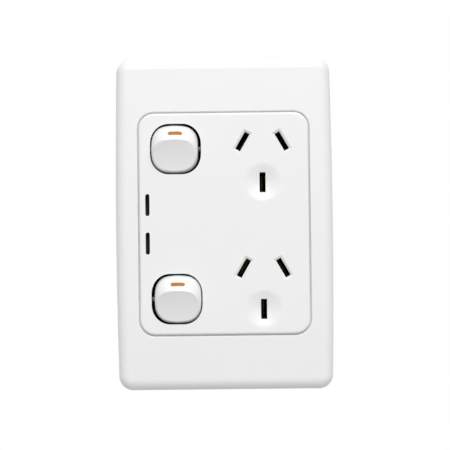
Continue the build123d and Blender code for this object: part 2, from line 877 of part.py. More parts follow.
with BuildPart() as terminal_screws:
    screw_tip = tunnel_height - tunnel_radius - terminal_screw_lift
    head_front = block_back - terminal_head_lift
    head_back = head_front - terminal_head_height
    places = [(block_x(pole), 0) for pole in poles]
    with BuildSketch(FRONT.offset(screw_tip)):
        with Locations(places):
            Circle(terminal_screw_radius)
    extrude(amount=head_front - screw_tip)
    with BuildSketch(FRONT.offset(head_front)):
        with Locations(places):
            Circle(terminal_head_radius)
    extrude(amount=-terminal_head_height)
    with BuildSketch(FRONT.offset(head_back)):
        with Locations(places):
            Rectangle(2 * terminal_head_radius, drive_slot_width)
    extrude(amount=drive_slot_depth, mode=Mode.SUBTRACT)
save(terminal_screws, "terminal_screws")

# Rear housing: a tray that plugs into the face plate, with wells, pillars and terminal towers
with BuildPart() as rear_housing:
    with BuildSketch(FRONT.offset(housing_back)):
        RectangleRounded(housing_width, housing_height, housing_corner)
    extrude(amount=spigot_height - housing_back)
    fillet(rear_housing.faces().sort_by(Axis.Y)[-1].edges(), housing_back_round)
    with BuildSketch(FRONT.offset(floor_height)):
        inner_corner = housing_corner - housing_wall
        RectangleRounded(housing_width - 2 * housing_wall, housing_height - 2 * housing_wall, inner_corner)
    extrude(amount=spigot_height - floor_height, mode=Mode.SUBTRACT)
    # The wall stops at the wall plane beside the rockers, which swing past it
    cut_width = housing_width / 2 + spigot_left
    with BuildSketch(FRONT):
        with Locations((spigot_left - cut_width / 2, 0)):
            Rectangle(cut_width, housing_height)
    extrude(amount=spigot_height, mode=Mode.SUBTRACT)
    # Latches that stand behind the finger slots, and a ledge over the active bar
    with BuildSketch(FRONT):
        with Locations((latch_thickness / 2 - housing_width / 2, 0)):
            with GridLocations(0, finger_slot_pitch, 1, 2):
                Rectangle(latch_thickness, latch_length)
    extrude(amount=face_back - latch_top_gap)
    with BuildSketch(FRONT.offset(ledge_bottom)):
        with Locations((housing_left_inside + ledge_width / 2, 0)):
            Rectangle(ledge_width, housing_height - 2 * housing_wall)
    extrude(amount=ledge_top - ledge_bottom)
    # Wells round the pin jaws, and barriers between switches and sockets
    well_height = face_back - well_top_gap
    for row in rows:
        with BuildSketch(FRONT.offset(floor_height)):
            with Locations((switch_x + barrier_from_switch, switch_z[row])):
                Rectangle(barrier_thickness, barrier_length)
        extrude(amount=barrier_height - floor_height)
        for pole, middle, turn in slot_places(row):
            well_length = jaw_width + 2 * well_fit
            well_width = jaw_base + jaw_sheet + 2 * well_fit
            with BuildSketch(FRONT.offset(floor_height)):
                with Locations(Location(middle, turn)):
                    Rectangle(well_length + 2 * well_wall, well_width + 2 * well_wall)
                    Rectangle(well_length, well_width, mode=Mode.SUBTRACT)
            extrude(amount=well_height - floor_height)
    # Everything keeps clear of the face plate's bosses, which meet pillars at the wall plane
    with BuildSketch(FRONT):
        with Locations((screw_pattern_x, 0)):
            with GridLocations(screw_pitch_x, screw_pitch_z, 2, 2):
                Circle(pillar_radius + housing_fit)
    extrude(amount=well_height, mode=Mode.SUBTRACT)
    with BuildSketch(FRONT.offset(floor_height)):
        with Locations((screw_pattern_x, 0)):
            with GridLocations(screw_pitch_x, screw_pitch_z, 2, 2):
                Circle(pillar_radius)
    extrude(amount=-floor_height)
    # Channels that let the bars lie on the floor under the wells
    for draw in (neutral_strip, earth_strip, active_strip):
        with BuildSketch(FRONT.offset(floor_height)):
            draw(channel_fit)
        extrude(amount=bar_thickness + channel_fit, mode=Mode.SUBTRACT)
    for row in rows:
        with BuildSketch(FRONT.offset(floor_height)):
            switched_strip(row, channel_fit)
        extrude(amount=bar_thickness + channel_fit, mode=Mode.SUBTRACT)
    # Terminal towers, open below for the wires and behind for the screwdriver
    for pole in poles:
        tab_far = tab_right[pole] - bar_thickness / 2 - terminal_side[pole] * bar_thickness / 2
        block_far = block_x(pole) + terminal_side[pole] * block_width / 2
        pocket_left = min(tab_far, block_far) - pocket_fit
        pocket_right = max(tab_far, block_far) + pocket_fit
        pocket_middle = (pocket_left + pocket_right) / 2
        pocket_width = pocket_right - pocket_left
        pocket_top = block_length / 2 + pocket_fit
        tower_bottom = -block_length / 2 - pocket_fit
        tower_top = pocket_top + tower_wall
        with BuildSketch(FRONT.offset(housing_back)):
            with Locations((pocket_middle, (tower_top + tower_bottom) / 2)):
                Rectangle(pocket_width + 2 * tower_wall, tower_top - tower_bottom)
        extrude(amount=-(block_depth + tower_rise))
        # Fins slope down beside the wire's way in
        fin_root = -housing_back
        for fin_x in (pocket_left - tower_wall, pocket_right):
            with BuildSketch(Plane.YZ.offset(fin_x)):
                with BuildLine():
                    Polyline(
                        (fin_root, tower_bottom),
                        (fin_root + block_depth + tower_rise, tower_bottom),
                        (fin_root, tower_bottom - fin_length),
                        close=True,
                    )
                make_face()
            extrude(amount=tower_wall)
        with BuildSketch(FRONT.offset(housing_back)):
            with Locations((pocket_middle, (pocket_top + tower_bottom) / 2)):
                Rectangle(pocket_width, pocket_top - tower_bottom)
        extrude(amount=-(block_depth + tower_rise), mode=Mode.SUBTRACT)
        with BuildSketch(FRONT.offset(floor_height)):
            with Locations((tab_right[pole] - bar_thickness / 2, 0)):
                Rectangle(bar_thickness + 2 * tab_slot_fit, tab_width + 2 * tab_slot_fit)
        extrude(amount=-housing_floor, mode=Mode.SUBTRACT)
    # Shallow fields above the towers and below their fins even out the back's thickness
    field_end = housing_height / 2 - back_field_end_inset
    for field_top, field_bottom in (
        (field_end, tower_top + back_field_gap),
        (tower_bottom - fin_length - back_field_gap, -field_end),
    ):
        with BuildSketch(FRONT.offset(housing_back)):
            with Locations((0, (field_top + field_bottom) / 2)):
                RectangleRounded(
                    housing_width - 2 * back_field_side_inset, field_top - field_bottom, back_field_corner
                )
        extrude(amount=back_field_depth, mode=Mode.SUBTRACT)
    # Screw holes and their counterbores
    with BuildSketch(FRONT.offset(housing_back)):
        with Locations((screw_pattern_x, 0)):
            with GridLocations(screw_pitch_x, screw_pitch_z, 2, 2):
                Circle(screw_shank_radius + screw_hole_fit)
    extrude(amount=-housing_back, mode=Mode.SUBTRACT)
    with BuildSketch(FRONT.offset(housing_back)):
        with Locations((screw_pattern_x, 0)):
            with GridLocations(screw_pitch_x, screw_pitch_z, 2, 2):
                Circle(screw_head_radius + screw_head_fit)
    extrude(amount=screw_head_height, mode=Mode.SUBTRACT)
save(rear_housing, "rear_housing")

with BuildPart() as housing_screws:
    with BuildSketch(FRONT.offset(housing_back)):
        with Locations((screw_pattern_x, 0)):
            with GridLocations(screw_pitch_x, screw_pitch_z, 2, 2):
                Circle(screw_head_radius)
    extrude(amount=screw_head_height)
    with BuildSketch(FRONT.offset(housing_back + screw_head_height)):
        with Locations((screw_pattern_x, 0)):
            with GridLocations(screw_pitch_x, screw_pitch_z, 2, 2):
                Circle(screw_shank_radius)
    extrude(amount=screw_engagement - housing_back - screw_head_height)
    with BuildSketch(FRONT.offset(housing_back)):
        with Locations((screw_pattern_x, 0)):
            with GridLocations(screw_pitch_x, screw_pitch_z, 2, 2):
                Rectangle(2 * screw_head_radius, drive_slot_width)
                Rectangle(drive_slot_width, 2 * screw_head_radius)
    extrude(amount=drive_slot_depth, mode=Mode.SUBTRACT)
save(housing_screws, "housing_screws")
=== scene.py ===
"""Looks of a switched double socket: finishes, detailed screws and springs, stage and camera.

Everything is in metres in the CAD frame: +X right, +Z up, the front faces -Y and the wall
plane is y = 0.
"""

import json
import math

import bmesh
import bpy
from mathutils import Matrix, Vector


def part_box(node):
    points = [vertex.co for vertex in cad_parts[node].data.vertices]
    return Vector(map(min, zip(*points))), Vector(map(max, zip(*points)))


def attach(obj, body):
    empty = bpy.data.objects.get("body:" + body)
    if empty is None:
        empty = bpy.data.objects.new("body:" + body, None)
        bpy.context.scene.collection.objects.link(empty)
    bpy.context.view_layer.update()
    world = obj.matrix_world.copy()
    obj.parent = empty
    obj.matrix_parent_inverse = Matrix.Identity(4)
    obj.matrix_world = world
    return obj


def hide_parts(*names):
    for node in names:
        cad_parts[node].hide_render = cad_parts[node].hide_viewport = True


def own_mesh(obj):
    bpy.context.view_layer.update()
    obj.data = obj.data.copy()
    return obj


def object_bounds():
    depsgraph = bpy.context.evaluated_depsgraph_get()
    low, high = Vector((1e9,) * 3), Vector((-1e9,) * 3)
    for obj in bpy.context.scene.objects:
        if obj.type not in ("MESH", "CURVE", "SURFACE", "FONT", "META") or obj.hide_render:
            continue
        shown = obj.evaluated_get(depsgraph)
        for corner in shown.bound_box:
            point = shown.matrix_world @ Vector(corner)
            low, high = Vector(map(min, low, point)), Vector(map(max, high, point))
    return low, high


bl_info = {
    "name": "Switched Double Socket",
    "version": (1, 0, 0),
    "blender": (4, 5, 0),
    "location": "3D View > Sidebar > Socket",
    "description": "Finishes, screws, springs and studio stage for a switched double socket",
    "category": "Object",
}

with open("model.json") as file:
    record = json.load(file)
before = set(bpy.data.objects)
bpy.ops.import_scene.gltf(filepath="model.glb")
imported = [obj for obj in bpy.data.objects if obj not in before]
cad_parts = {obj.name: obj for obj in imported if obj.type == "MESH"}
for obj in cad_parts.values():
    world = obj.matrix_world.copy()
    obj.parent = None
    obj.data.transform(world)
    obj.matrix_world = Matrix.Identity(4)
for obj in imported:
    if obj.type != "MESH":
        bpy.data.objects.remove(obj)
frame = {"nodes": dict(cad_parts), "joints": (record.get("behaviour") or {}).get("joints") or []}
cad_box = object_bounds()

MM = 0.001
IMAGE_PIXELS = 450
SENSOR_MM = 36.0
ROWS = ("upper", "lower")
POLES = ("active", "neutral", "earth")
PATTERN_DETAIL = 3.0
RELIEF_STRENGTH = 0.5
SHARP_EDGE = math.radians(35)

# Colour sockets of a Mix node, by number because the sockets of its other types share their names
MIX_FACTOR = 0
MIX_FROM = 6
MIX_TO = 7
MIX_RESULT = 2


def linear(code):
    """An sRGB hex colour such as #F2F2F0 as linear red, green, blue and alpha, by the sRGB curve."""
    channels = [int(code[i : i + 2], 16) / 255 for i in (1, 3, 5)]
    return [c / 12.92 if c <= 0.04045 else ((c + 0.055) / 1.055) ** 2.4 for c in channels] + [1.0]


WHITE = linear("#FFFFFF")


# Settings that a user would change


def colour_setting(name, code, words):
    """A colour property, written here in sRGB hex."""
    return bpy.props.FloatVectorProperty(
        name=name, description=words, subtype="COLOR", size=4, min=0, max=1, default=linear(code)
    )


def length_setting(name, size_mm, words):
    """A length property, written here in millimetres."""
    return bpy.props.FloatProperty(
        name=name, description=words, unit="LENGTH", precision=5, default=size_mm * MM
    )


def angle_setting(name, degrees, words):
    """An angle property, written here in degrees."""
    return bpy.props.FloatProperty(
        name=name, description=words, subtype="ANGLE", default=math.radians(degrees)
    )


def number_setting(name, default, words, unit="NONE"):
    """A property that is a plain number, or a power in watts."""
    return bpy.props.FloatProperty(name=name, description=words, unit=unit, default=default)


class SocketFinishes(bpy.types.PropertyGroup):
    """Colours of the mouldings and metals, and the reach of the shade painted on the pivots."""

    plate_white: colour_setting("Plate white", "#F3F3F3", "Surround and face plate")
    rocker_white: colour_setting("Rocker white", "#F4F4F4", "Rockers")
    # Painted shade: a dark colour on the trunnions stands in for the shade deep in the gaps, and
    # these set how far it reaches
    pivot_painted_shade: colour_setting("Pivot painted shade", "#55534F", "On the rockers' trunnions")
    painted_shade_full: length_setting("Painted shade full", 1.02, "From the pivot to where the film thins")
    painted_shade_gone: length_setting("Painted shade gone", 1.1, "From the pivot to where the film ends")
    mark_orange: colour_setting("Mark orange", "#B6740E", "Inserts that show a switch is on")
    housing_charcoal: colour_setting("Housing charcoal", "#242528", "Rear housing")
    acetal_natural: colour_setting("Natural acetal", "#E9E4D8", "Plungers")
    strip_brass: colour_setting("Strip brass", "#8F7040", "Bars, jaws and see-saws")
    block_brass: colour_setting("Block brass", "#BB9A55", "Terminal blocks")
    tip_silver: colour_setting("Tip silver", "#D9D6CE", "Contact tips")
    zinc_grey: colour_setting("Zinc grey", "#B9BDC1", "Screws")
    wire_grey: colour_setting("Wire grey", "#8F9194", "Springs")


class SocketTerminalScrews(bpy.types.PropertyGroup):
    """Sizes of the terminals' slotted screws, which the CAD leaves plain."""

    radius: length_setting("Terminal screw radius", 1.95, "Over the thread")
    pitch: length_setting("Terminal screw pitch", 0.7, "From thread to thread")
    point: length_setting("Terminal screw point", 0.7, "Length of the tapered end")
    head: length_setting("Terminal screw head", 1.6, "Height of the cheese head")
    head_radius: length_setting("Terminal head radius", 2.4, "Of the cheese head")
    head_round: length_setting("Terminal head round", 0.24, "Rounding of the head's rim")
    drive_length: length_setting("Slot length", 5.28, "Right across the head")
    drive_width: length_setting("Slot width", 0.7, "Across the slot")
    drive_depth: length_setting("Slot depth", 0.8, "Into the head")
    drive_turn: angle_setting("Slot turn", 12, "Of the slot in the first screw")
    turn_step: angle_setting("Terminal turn step", 50, "From each screw to the next")


class SocketHousingScrews(bpy.types.PropertyGroup):
    """Sizes of the rear housing's cross-recessed screws, which the CAD leaves plain."""

    radius: length_setting("Housing screw radius", 1.1, "Over the thread")
    pitch: length_setting("Housing screw pitch", 0.8, "From thread to thread")
    point: length_setting("Housing screw point", 1.6, "Length of the tapered end")
    head: length_setting("Housing screw head", 1.4, "Height of the pan head")
    head_radius: length_setting("Housing head radius", 1.9, "Of the pan head")
    head_round: length_setting("Housing head round", 0.98, "Rounding of the head's rim")
    drive_length: length_setting("Cross length", 2.47, "From end to end of an arm")
    drive_width: length_setting("Cross width", 0.7, "Across an arm")
    drive_depth: length_setting("Cross depth", 0.8, "Into the head")
    drive_turn: angle_setting("Cross turn", 20, "Of the cross in the first screw")
    turn_step: angle_setting("Housing turn step", 50, "From each screw to the next")


class SocketSprings(bpy.types.PropertyGroup):
    """Sizes of the wire springs behind the plungers."""

    wire: length_setting("Spring wire", 0.4, "Thickness of the wire")
    radius: length_setting("Spring radius", 1.5, "From the axis to the middle of the wire")
    turns: number_setting("Spring turns", 5.5, "All turns, with the two closed ones at the ends")


class SocketStage(bpy.types.PropertyGroup):
    """Camera, light and floor."""

    distance: length_setting("Camera distance", 500, "From the middle of the face")
    yaw: angle_setting("Camera yaw", 0.54, "Towards +X of straight ahead")
    pitch: angle_setting("Camera pitch", -1.22, "Above the middle of the face, or below it under 0")
    roll: angle_setting("Camera roll", -0.67, "Turn about the view")
    aim_x: length_setting("Camera aim X", 0.24, "Middle of the picture, to the right")
    aim_y: length_setting("Camera aim Y", -9.0, "Middle of the picture, at the face")
    aim_z: length_setting("Camera aim Z", -0.56, "Middle of the picture, upwards")
    pixels_per_mm: number_setting("Pixels per millimetre", 2.8754, "Scale of the picture at the face")
    key_power: number_setting("Key power", 8.2, "Of the softbox overhead", "POWER")
    key_distance: length_setting("Key distance", 1200, "From the origin to the softbox")
    key_width: length_setting("Key width", 1000, "Of the softbox")
    key_height: length_setting("Key height", 700, "Of the softbox")
    key_rise: angle_setting("Key rise", 43, "Of the softbox above the face's axis")
    key_side: angle_setting("Key side", 8, "Of the softbox to the right of the face's axis")
    fill: number_setting("Fill", 0.74, "Strength of the light from all around")
    side_fill: number_setting("Side fill", 0.35, "Strength of that light from far left and right")
    side_start: number_setting("Side start", 0.4, "Where it starts to fall: 0 is ahead, 1 the side")
    side_end: number_setting("Side end", 0.9, "Where it has fallen to the side fill")
    floor_half: length_setting("Floor half", 3000, "Half the width of the floor")
    floor_drop: length_setting("Floor drop", 100, "From the plate's lower edge down to the floor")
    paper_shown: colour_setting("Paper shown", "#EDEDEC", "Floor as it is seen")
    paper_given: colour_setting("Paper given", "#BEBEBE", "Floor as it lights the object")
    shadow_reach: length_setting("Shadow reach", 200, "Floor round the object that shows its shadow")
    white_reach: length_setting("White reach", 450, "Where the floor has run out to plain white")


SETTINGS = {
    "socket_finishes": SocketFinishes,
    "socket_terminal_screws": SocketTerminalScrews,
    "socket_housing_screws": SocketHousingScrews,
    "socket_springs": SocketSprings,
    "socket_stage": SocketStage,
}


# Finishes


def scale_of(size_mm):
    """Scale of a pattern, on coordinates in metres, whose features are this many millimetres."""
    return 1 / (size_mm * MM)


def add(tree, kind, settings=None, links=None):
    """Add one shader node with its settings and the sockets that feed it."""
    node = tree.nodes.new(kind)
    for key, value in (settings or {}).items():
        if isinstance(key, int) or key in node.inputs:
            node.inputs[key].default_value = value
        else:
            setattr(node, key, value)
    for key, socket in (links or {}).items():
        tree.links.new(socket, node.inputs[key])
    return node


def start_material(name):
    """A material by this name with an emptied tree, its shader and its coordinates in metres."""
    material = bpy.data.materials.get(name) or bpy.data.materials.new(name)
    material.use_nodes = True
    tree = material.node_tree
    tree.nodes.clear()
    shader = add(tree, "ShaderNodeBsdfPrincipled")
    add(tree, "ShaderNodeOutputMaterial", links={"Surface": shader.outputs["BSDF"]})
    coordinates = add(tree, "ShaderNodeTexCoord").outputs["Object"]
    return material, tree, shader, coordinates


def work_surface(tree, shader, coordinates, fine, colour, cloud_mm, cloud, gloss, depth_mm):
    """Cloud a colour broadly, and let a fine pattern vary its gloss and give it relief."""
    clouds = add(
        tree,
        "ShaderNodeTexNoise",
        {"Scale": scale_of(cloud_mm), "Detail": PATTERN_DETAIL},
        {"Vector": coordinates},
    )
    darker = [c * (1 - cloud) for c in colour[:3]] + [1.0]
    tint = add(
        tree,
        "ShaderNodeMix",
        {"data_type": "RGBA", MIX_FROM: list(colour), MIX_TO: darker},
        {MIX_FACTOR: clouds.outputs["Fac"]},
    )
    rough = add(
        tree, "ShaderNodeMapRange", {"To Min": gloss[0], "To Max": gloss[1]}, {"Value": fine}
    )
    relief = add(
        tree,
        "ShaderNodeBump",
        {"Strength": RELIEF_STRENGTH, "Distance": depth_mm * MM},
        {"Height": fine},
    )
    tree.links.new(tint.outputs[MIX_RESULT], shader.inputs["Base Color"])
    tree.links.new(rough.outputs["Result"], shader.inputs["Roughness"])
    tree.links.new(relief.outputs["Normal"], shader.inputs["Normal"])


def moulded_plastic(name, colour, ior, roughness, grain_mm, grain_depth_mm, mottle_mm, mottle):
    """Injection-moulded plastic: even colour, with the fine grain of the mould."""
    material, tree, shader, coordinates = start_material(name)
    shader.inputs["IOR"].default_value = ior
    grain = add(
        tree,
        "ShaderNodeTexNoise",
        {"Scale": scale_of(grain_mm), "Detail": PATTERN_DETAIL},
        {"Vector": coordinates},
    )
    gloss_swing = 0.04
    gloss = (roughness - gloss_swing, roughness + gloss_swing)
    fine = grain.outputs["Fac"]
    work_surface(tree, shader, coordinates, fine, colour, mottle_mm, mottle, gloss, grain_depth_mm)
    return material


def worked_metal(
    name, colour, roughness, streak_mm, streak_length_mm, streak_depth_mm, stain_mm, stain
):
    """Worked metal: fine streaks along Z from rolling, drawing or milling, and faint stains."""
    material, tree, shader, coordinates = start_material(name)
    shader.inputs["Metallic"].default_value = 1.0
    across = scale_of(streak_mm)
    stretched = add(
        tree,
        "ShaderNodeMapping",
        {"Scale": (across, across, scale_of(streak_length_mm))},
        {"Vector": coordinates},
    )
    streaks = add(
        tree,
        "ShaderNodeTexNoise",
        {"Scale": 1.0, "Detail": PATTERN_DETAIL},
        {"Vector": stretched.outputs["Vector"]},
    )
    brighter = 0.08
    duller = 0.1
    gloss = (roughness - brighter, roughness + duller)
    fine = streaks.outputs["Fac"]
    work_surface(tree, shader, coordinates, fine, colour, stain_mm, stain, gloss, streak_depth_mm)
    return material


def plate_plastic(finishes):
    # Polycarbonate from a lightly etched mould: clean white with a broad soft gloss.
    # The real grain is near 0.05 mm; it is drawn at 0.4 mm so that it can show.
    return moulded_plastic(
        "Etched moulded polycarbonate white",
        finishes.plate_white,
        ior=1.58,
        roughness=0.36,
        grain_mm=0.4,
        grain_depth_mm=0.004,
        mottle_mm=14.0,
        mottle=0.012,
    )


def paint_trunnion_shade(material, finishes):
    # Painted shade: a dark patch on the trunnions stands in for the shade they sit in, deep in the
    # gaps.
    # The two pivots mirror each other in height, so one mask on absolute coordinates serves both.
    pivot = next(joint["pos_m"] for joint in frame["joints"] if joint["name"] == "upper_rocker_pivot")
    tree = material.node_tree
    coordinates = add(tree, "ShaderNodeTexCoord").outputs["Object"]
    mirrored = add(tree, "ShaderNodeVectorMath", {"operation": "ABSOLUTE"}, {0: coordinates})
    end_on = add(
        tree,
        "ShaderNodeVectorMath",
        {"operation": "MULTIPLY", 1: (0, 1, 1)},
        {0: mirrored.outputs["Vector"]},
    )
    reach = add(
        tree,
        "ShaderNodeVectorMath",
        {"operation": "DISTANCE", 1: (0, abs(pivot[1]), abs(pivot[2]))},
        {0: end_on.outputs["Vector"]},
    )
    trunnion_shade = add(
        tree,
        "ShaderNodeMapRange",
        {
            "From Min": finishes.painted_shade_full,
            "From Max": finishes.painted_shade_gone,
            "To Min": 1.0,
            "To Max": 0.0,
        },
        {"Value": reach.outputs["Value"]},
    )
    base = tree.nodes["Principled BSDF"].inputs["Base Color"]
    plain = base.links[0].from_socket
    tint = add(
        tree,
        "ShaderNodeMix",
        {"data_type": "RGBA", MIX_TO: list(finishes.pivot_painted_shade)},
        {MIX_FACTOR: trunnion_shade.outputs["Result"], MIX_FROM: plain},
    )
    tree.links.new(tint.outputs[MIX_RESULT], base)


def rocker_plastic(finishes):
    # Polycarbonate from a polished mould: whiter and glossier than the plate.
    # The real polish lines are under 0.01 mm; a faint grain is drawn at 0.6 mm so that it can show.
    material = moulded_plastic(
        "Polished moulded polycarbonate white",
        finishes.rocker_white,
        ior=1.58,
        roughness=0.22,
        grain_mm=0.6,
        grain_depth_mm=0.002,
        mottle_mm=9.0,
        mottle=0.01,
    )
    # Painted shade on the trunnions, darker than the rocker's white
    paint_trunnion_shade(material, finishes)
    return material


def mark_plastic(finishes):
    # ABS insert: a warm orange with a slight sink in its gloss.
    # The real grain is near 0.05 mm; it is drawn at 0.3 mm so that it can show.
    return moulded_plastic(
        "Moulded ABS orange",
        finishes.mark_orange,
        ior=1.54,
        roughness=0.3,
        grain_mm=0.3,
        grain_depth_mm=0.006,
        mottle_mm=1.2,
        mottle=0.1,
    )


def housing_plastic(finishes):
    # Glass-filled nylon: matt charcoal, clouded where the fibres come to the surface.
    # The fibres are near 0.01 mm thick; the grain is drawn at 0.35 mm so that it can show.
    return moulded_plastic(
        "Moulded glass-filled nylon charcoal",
        finishes.housing_charcoal,
        ior=1.53,
        roughness=0.78,
        grain_mm=0.35,
        grain_depth_mm=0.02,
        mottle_mm=5.0,
        mottle=0.25,
    )


def plunger_plastic(finishes):
    # Acetal: a waxy off-white, smooth from the mould.
    # Its real grain is under 0.05 mm; it is drawn at 0.5 mm so that it can show.
    return moulded_plastic(
        "Moulded acetal natural",
        finishes.acetal_natural,
        ior=1.48,
        roughness=0.34,
        grain_mm=0.5,
        grain_depth_mm=0.003,
        mottle_mm=3.0,
        mottle=0.04,
    )


def strip_metal(finishes):
    # Rolled brass strip: dull brown-yellow from the air, with rolling lines along the strip.
    # The real lines are near 0.02 mm apart; they are drawn at 0.12 mm so that they can show.
    return worked_metal(
        "Rolled brass strip",
        finishes.strip_brass,
        roughness=0.42,
        streak_mm=0.12,
        streak_length_mm=4.0,
        streak_depth_mm=0.005,
        stain_mm=3.5,
        stain=0.35,
    )


def block_metal(finishes):
    # Free-cutting brass, sawn and milled: bright, with the cutter's marks at their real spacing.
    return worked_metal(
        "Milled brass",
        finishes.block_brass,
        roughness=0.26,
        streak_mm=0.25,
        streak_length_mm=3.0,
        streak_depth_mm=0.01,
        stain_mm=2.5,
        stain=0.15,
    )


def tip_metal(finishes):
    # Silver alloy rivet: pale, soft gloss, a little smoked.
    # The real die marks are near 0.02 mm; they are drawn at 0.2 mm so that they can show.
    return worked_metal(
        "Headed silver alloy",
        finishes.tip_silver,
        roughness=0.3,
        streak_mm=0.2,
        streak_length_mm=0.5,
        streak_depth_mm=0.003,
        stain_mm=0.8,
        stain=0.18,
    )


def spring_metal(finishes):
    # Drawn spring wire: grey, with a dull sheen along the wire.
    # The real die lines are near 0.01 mm; they are drawn at 0.15 mm so that they can show.
    return worked_metal(
        "Drawn spring steel wire",
        finishes.wire_grey,
        roughness=0.32,
        streak_mm=0.15,
        streak_length_mm=0.6,
        streak_depth_mm=0.004,
        stain_mm=1.0,
        stain=0.2,
    )


def screw_metal(finishes):
    # Zinc plate over turned steel: cool silver, slightly cloudy.
    # The real tool marks are near 0.05 mm; they are drawn at 0.2 mm so that they can show.
    return worked_metal(
        "Zinc plated turned steel",
        finishes.zinc_grey,
        roughness=0.3,
        streak_mm=0.2,
        streak_length_mm=0.5,
        streak_depth_mm=0.004,
        stain_mm=1.2,
        stain=0.2,
    )


# Pieces that keep their CAD shape


def dress(material, *names):
    """Put one material on CAD nodes."""
    for name in names:
        mesh = frame["nodes"][name].data
        mesh.materials.clear()
        mesh.materials.append(material)


class SOCKET_OT_white_mouldings(bpy.types.Operator):
    """Finish the surround and the face plate"""

    bl_idname = "socket.white_mouldings"
    bl_label = "White mouldings"

    def execute(self, context):
        dress(plate_plastic(context.scene.socket_finishes), "surround", "face_plate")
        return {"FINISHED"}


class SOCKET_OT_rockers(bpy.types.Operator):
    """Finish the rockers and their orange marks"""

    bl_idname = "socket.rockers"
    bl_label = "Rockers and marks"

    def execute(self, context):
        finishes = context.scene.socket_finishes
        dress(rocker_plastic(finishes), *(f"{row}_rocker" for row in ROWS))
        dress(mark_plastic(finishes), *(f"{row}_rocker_mark" for row in ROWS))
        return {"FINISHED"}


class SOCKET_OT_rear_housing(bpy.types.Operator):
    """Finish the rear housing"""

    bl_idname = "socket.rear_housing"
    bl_label = "Rear housing"

    def execute(self, context):
        dress(housing_plastic(context.scene.socket_finishes), "rear_housing")
        return {"FINISHED"}


class SOCKET_OT_switch_works(bpy.types.Operator):
    """Finish the plungers, see-saws and contact tips"""

    bl_idname = "socket.switch_works"
    bl_label = "Switch works"

    def execute(self, context):
        finishes = context.scene.socket_finishes
        dress(plunger_plastic(finishes), *(f"{row}_plunger" for row in ROWS))
        dress(strip_metal(finishes), *(f"{row}_moving_contact" for row in ROWS))
        dress(tip_metal(finishes), "fixed_tips", *(f"{row}_moving_tip" for row in ROWS))
        return {"FINISHED"}


class SOCKET_OT_conductors(bpy.types.Operator):
    """Finish the bars and the switched contacts"""

    bl_idname = "socket.conductors"
    bl_label = "Bars and contacts"

    def execute(self, context):
        brass = strip_metal(context.scene.socket_finishes)
        dress(brass, *(f"{pole}_bar" for pole in POLES))
        dress(brass, *(f"{row}_active_contact" for row in ROWS))
        return {"FINISHED"}


# Springs and screws, which take the place of plain CAD nodes


def tidy_normals(mesh):
    """Turn all faces outwards and shade them smooth between sharp edges."""
    work = bmesh.new()
    work.from_mesh(mesh)
    bmesh.ops.recalc_face_normals(work, faces=work.faces)
    work.to_mesh(mesh)
    work.free()
    mesh.shade_smooth()
    mesh.set_sharp_from_angle(angle=SHARP_EDGE)


def spring_line(sizes, length):
    """Points along a spring's wire, about +Z: open turns between a closed turn at each end."""
    steps_per_turn = 24
    open_turns = sizes.turns - 2
    # The two closed turns and the wire's own thickness take three wires of the length.
    open_pitch = (length - 3 * sizes.wire) / open_turns
    points = []
    for step in range(round(sizes.turns * steps_per_turn) + 1):
        turn = step / steps_per_turn
        opened = min(max(turn - 1, 0), open_turns)
        height = (turn - opened) * sizes.wire + opened * open_pitch + (sizes.wire - length) / 2
        angle = 2 * math.pi * turn
        points.append((sizes.radius * math.cos(angle), sizes.radius * math.sin(angle), height))
    return points


def spring_mesh(name, sizes, length):
    """A wire spring along +Z about the origin."""
    points = spring_line(sizes, length)
    curve = bpy.data.curves.new(name, "CURVE")
    curve.dimensions = "3D"
    curve.bevel_depth = sizes.wire / 2
    curve.use_fill_caps = True
    spline = curve.splines.new("POLY")
    spline.points.add(len(points) - 1)
    for place, point in zip(spline.points, points):
        place.co = (*point, 1)
    winding = bpy.data.objects.new(name, curve)
    bpy.context.scene.collection.objects.link(winding)
    evaluated = winding.evaluated_get(bpy.context.evaluated_depsgraph_get())
    mesh = bpy.data.meshes.new_from_object(evaluated)
    bpy.data.objects.remove(winding)
    bpy.data.curves.remove(curve)
    mesh.name = name
    tidy_normals(mesh)
    return mesh


def turned_box(node, turned):
    """Lowest and highest corners of a CAD node in axes turned by a matrix."""
    points = [turned.inverted() @ vertex.co for vertex in frame["nodes"][node].data.vertices]
    return Vector(map(min, zip(*points))), Vector(map(max, zip(*points)))


class SOCKET_OT_springs(bpy.types.Operator):
    """Wind the springs behind the plungers"""

    bl_idname = "socket.springs"
    bl_label = "Springs"

    def execute(self, context):
        wire = spring_metal(context.scene.socket_finishes)
        slides = {joint["child"]: joint for joint in frame["joints"] if joint["type"] == "slide"}
        for row in ROWS:
            node = f"{row}_spring"
            slide = slides[f"{row}_plunger"]
            axis = Vector(slide["axis"])
            turned = axis.to_track_quat("Z", "X").to_matrix()
            low, high = turned_box(node, turned)
            length = high.z - low.z
            middle = turned @ ((low + high) / 2)
            mesh = spring_mesh(f"{row}_coil", context.scene.socket_springs, length)
            mesh.materials.append(wire)
            spring = bpy.data.objects.new(f"{row}_coil", mesh)
            spring.matrix_world = Matrix.Translation(middle) @ turned.to_4x4()
            context.scene.collection.objects.link(spring)
            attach(spring, f"{row}_rocker")
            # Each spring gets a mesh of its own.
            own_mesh(spring)
            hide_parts(node)
        return {"FINISHED"}


